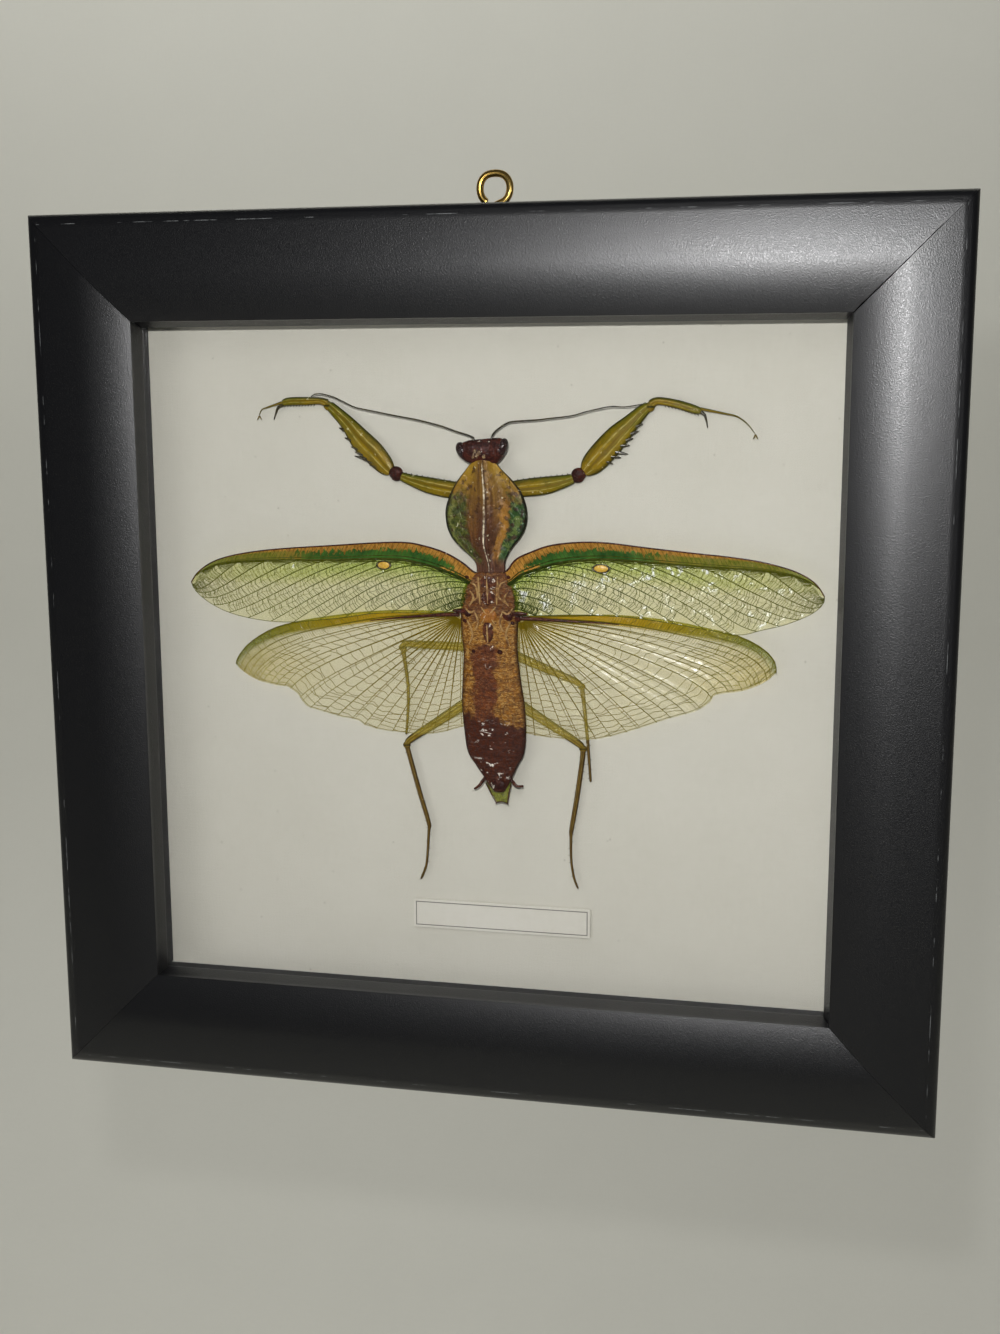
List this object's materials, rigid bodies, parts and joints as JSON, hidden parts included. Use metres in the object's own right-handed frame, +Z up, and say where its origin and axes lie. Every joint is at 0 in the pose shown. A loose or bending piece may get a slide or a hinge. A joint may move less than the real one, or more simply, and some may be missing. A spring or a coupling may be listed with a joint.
{
  "type": "framed mantis specimen",
  "caption": "Spread, dried mantis on a pale card under glass in a small square black box frame that hangs by a brass screw eye.",
  "frame": {"origin": "centre of the backing paper's outer face, where the frame rests against the wall", "axes": "+Z up as it hangs, +Y into the wall, -Y out of the front, +X to the viewer's right"},
  "size_m": [0.184, 0.018, 0.1873],
  "materials": {
    "black_lacquer": "satin black lacquer",
    "glass": "clear",
    "black_card": "matte black",
    "mount_card": "matte warm off-white",
    "back_board": "matte grey-brown",
    "brown_paper": "matte kraft",
    "brass_wire": "bright drawn wire",
    "label_paper": "matte off-white",
    "dark_red_chitin": "glossy dried chitin",
    "mottled_chitin": "satin dried chitin, mottled green and orange",
    "amber_chitin": "glossy dried chitin, amber to dark red",
    "green_wing": "leathery wing, orange edge and green veins",
    "clear_wing": "clear membrane with fine veins",
    "olive_leg": "satin dried chitin",
    "olive_thread": "matte"
  },
  "bodies": {
    "root": {"rail_top": "black_lacquer", "rail_right": "black_lacquer", "rail_bottom": "black_lacquer", "rail_left": "black_lacquer", "glass": "glass", "spacer_top": "black_card", "spacer_bottom": "black_card", "spacer_left": "black_card", "spacer_right": "black_card", "mount_card": "mount_card", "back_board": "back_board", "backing_paper": "brown_paper", "screw_eye": "brass_wire", "label_slip": "label_paper", "mantis_head": "dark_red_chitin", "mantis_shield": "mottled_chitin", "mantis_body": "amber_chitin", "forewing_left": "green_wing", "forewing_right": "green_wing", "hindwing_left": "clear_wing", "hindwing_right": "clear_wing", "foreleg_left": "olive_leg", "foreleg_right": "olive_leg", "midleg_left": "olive_leg", "midleg_right": "olive_leg", "hindleg_left": "olive_leg", "hindleg_right": "olive_leg", "antenna_left": "olive_thread", "antenna_right": "olive_thread"}
  },
  "joints": []
}
